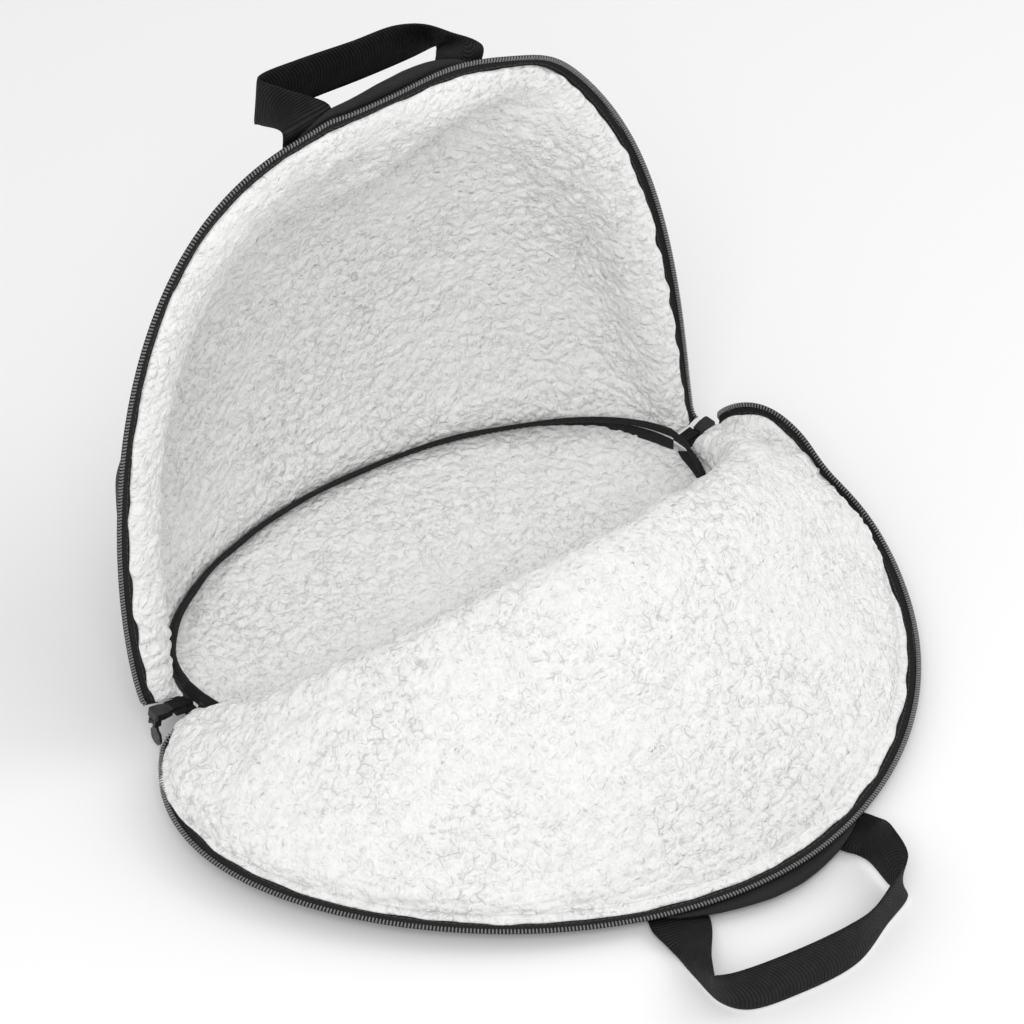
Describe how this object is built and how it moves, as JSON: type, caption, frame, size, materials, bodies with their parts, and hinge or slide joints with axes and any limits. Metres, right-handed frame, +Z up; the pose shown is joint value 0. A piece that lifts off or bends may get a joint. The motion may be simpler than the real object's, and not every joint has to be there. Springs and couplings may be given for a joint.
{
  "type": "motorcycle helmet bag",
  "caption": "Soft oval-based bag for carrying a motorcycle helmet, black cloth with thick fleece lining, zipped open with its front half folded out on the floor.",
  "frame": {"origin": "middle of the flat underside of the oval base, on the floor", "axes": "+X along the long axis of the base, +Y from the folded-out front half towards the standing back half, +Z up"},
  "size_m": [0.4647, 0.4956, 0.3462],
  "materials": {
    "black_cloth": "plain woven nylon, matt with a faint sheen",
    "fleece": "curly off-white sherpa fleece",
    "binding_tape": "ribbed woven binding tape",
    "zipper_tape": "fine twill tape",
    "zipper_coil": "satin nylon coil",
    "webbing": "woven webbing with cross ribs",
    "black_metal": "black semi-gloss paint"
  },
  "bodies": {
    "bag": {"base_cloth": "black_cloth", "back_panel_cloth": "black_cloth", "front_panel_cloth": "black_cloth", "base_lining": "fleece", "back_panel_lining": "fleece", "front_panel_lining": "fleece", "seam_binding": "binding_tape", "zip_tape_back": "zipper_tape", "zip_tape_front": "zipper_tape", "zip_end_left": "zipper_tape", "zip_end_right": "zipper_tape", "zip_coil_back": "zipper_coil", "zip_coil_front": "zipper_coil", "handle_back": "webbing", "handle_front": "webbing", "slider_left": "black_metal", "slider_right": "black_metal"},
    "pull_tab_left": {"pull_left": "black_metal"},
    "pull_tab_right": {"pull_right": "black_metal"}
  },
  "joints": [
    {"name": "pull_left_swing", "type": "hinge", "parent": "bag", "child": "pull_tab_left", "pos_m": [-0.2067, 0, 0.02546], "axis": [0, -1, 0], "range_deg": [-100, 75]},
    {"name": "pull_right_swing", "type": "hinge", "parent": "bag", "child": "pull_tab_right", "pos_m": [0.2067, 0, 0.02546], "axis": [0, 1, 0], "range_deg": [-100, 75]}
  ]
}
